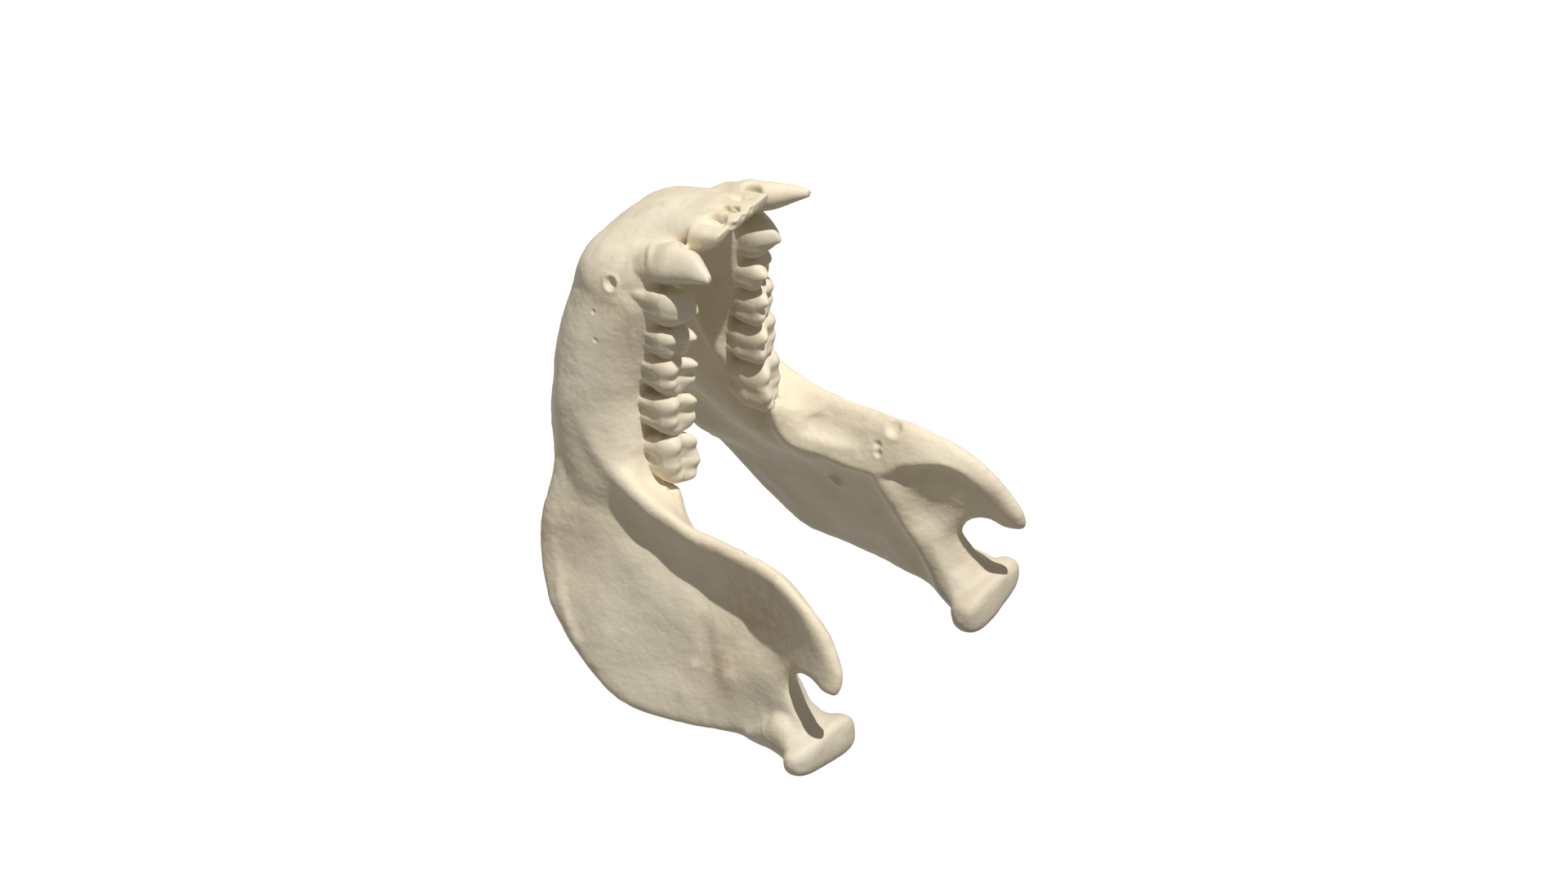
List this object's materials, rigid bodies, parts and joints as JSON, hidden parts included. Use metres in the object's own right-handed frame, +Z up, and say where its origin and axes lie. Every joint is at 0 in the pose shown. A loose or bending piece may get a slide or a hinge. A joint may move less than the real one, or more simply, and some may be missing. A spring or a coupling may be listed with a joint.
{
  "type": "gorilla lower jaw",
  "caption": "Still, life-size lower jawbone of a male gorilla: a U of bone with broad upright rami, joint heads and a full set of teeth with long canines.",
  "frame": {"origin": "middle of the bottom of the jaw's box, on the surface that the jaw rests on", "axes": "+X to the jaw's left, +Y to the back towards the joint heads, +Z up, with the teeth pointing up"},
  "size_m": [0.1389, 0.1872, 0.1352],
  "materials": {
    "symphysis": "matte dry bone",
    "left_body": "matte dry bone",
    "right_body": "matte dry bone",
    "left_ramus": "matte dry bone",
    "right_ramus": "matte dry bone"
  },
  "bodies": {
    "root": {"symphysis": "symphysis", "left_body": "left_body", "right_body": "right_body", "left_ramus": "left_ramus", "right_ramus": "right_ramus"}
  },
  "joints": []
}
